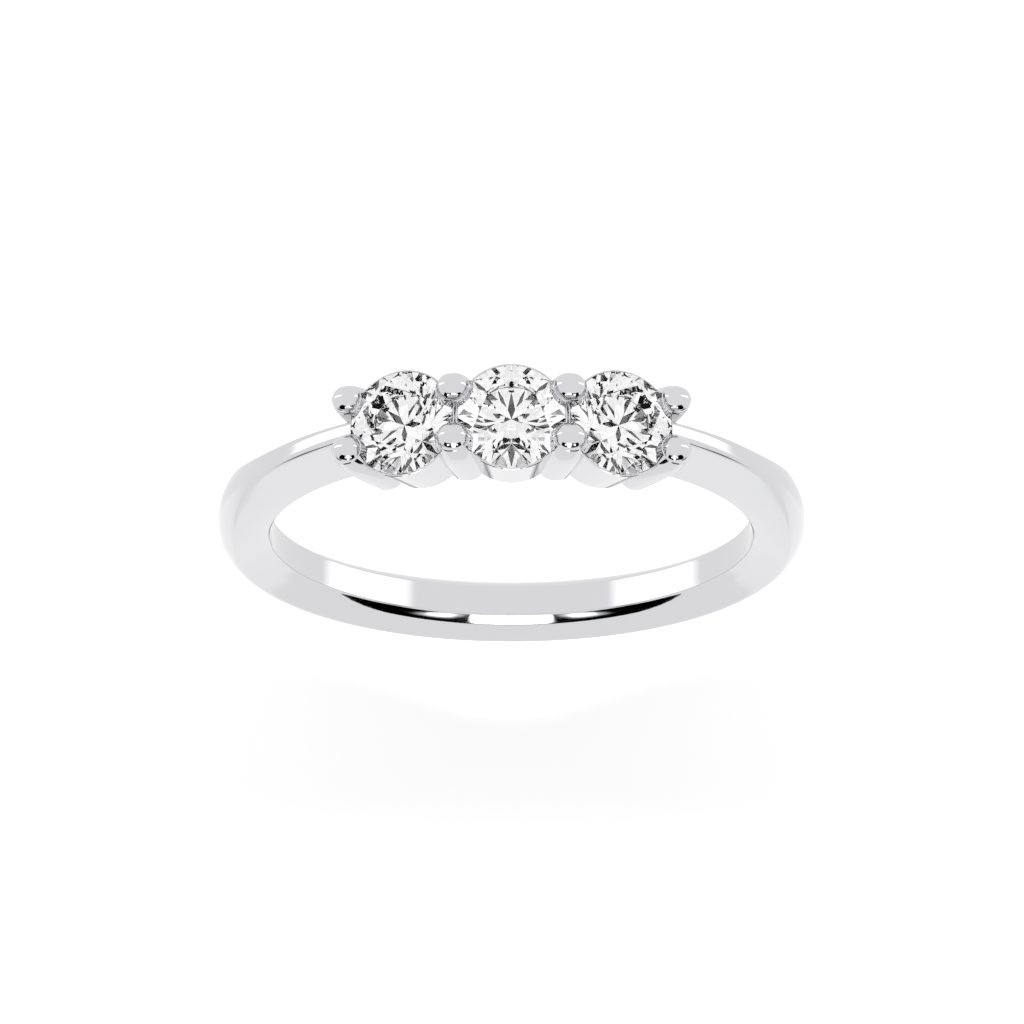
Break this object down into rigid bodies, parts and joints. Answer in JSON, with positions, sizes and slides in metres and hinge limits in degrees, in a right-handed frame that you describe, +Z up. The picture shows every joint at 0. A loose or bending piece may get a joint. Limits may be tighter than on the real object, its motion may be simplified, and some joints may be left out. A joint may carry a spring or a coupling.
{
  "type": "three stone ring",
  "caption": "Finger ring: comfort-fit shank with pinched shoulders, and round brilliants in open-backed cups held by shared ball-tipped prongs.",
  "frame": {"origin": "centre of the finger hole", "axes": "the ring lies on its side as it rests by itself: -Y toward the head with the stones, +Z up, +X toward the left stone as seen from above with the head up the page; the finger hole's axis leans 2.41 degrees from +Z toward +Y"},
  "size_m": [0.021, 0.0227, 0.0041],
  "materials": {
    "white_gold": "rhodium-plated white gold, high polish",
    "diamond": "colourless round brilliant cut, polished facets"
  },
  "bodies": {
    "root": {"band_and_setting": "white_gold", "stone_left": "diamond", "stone_center": "diamond", "stone_right": "diamond"}
  },
  "joints": []
}
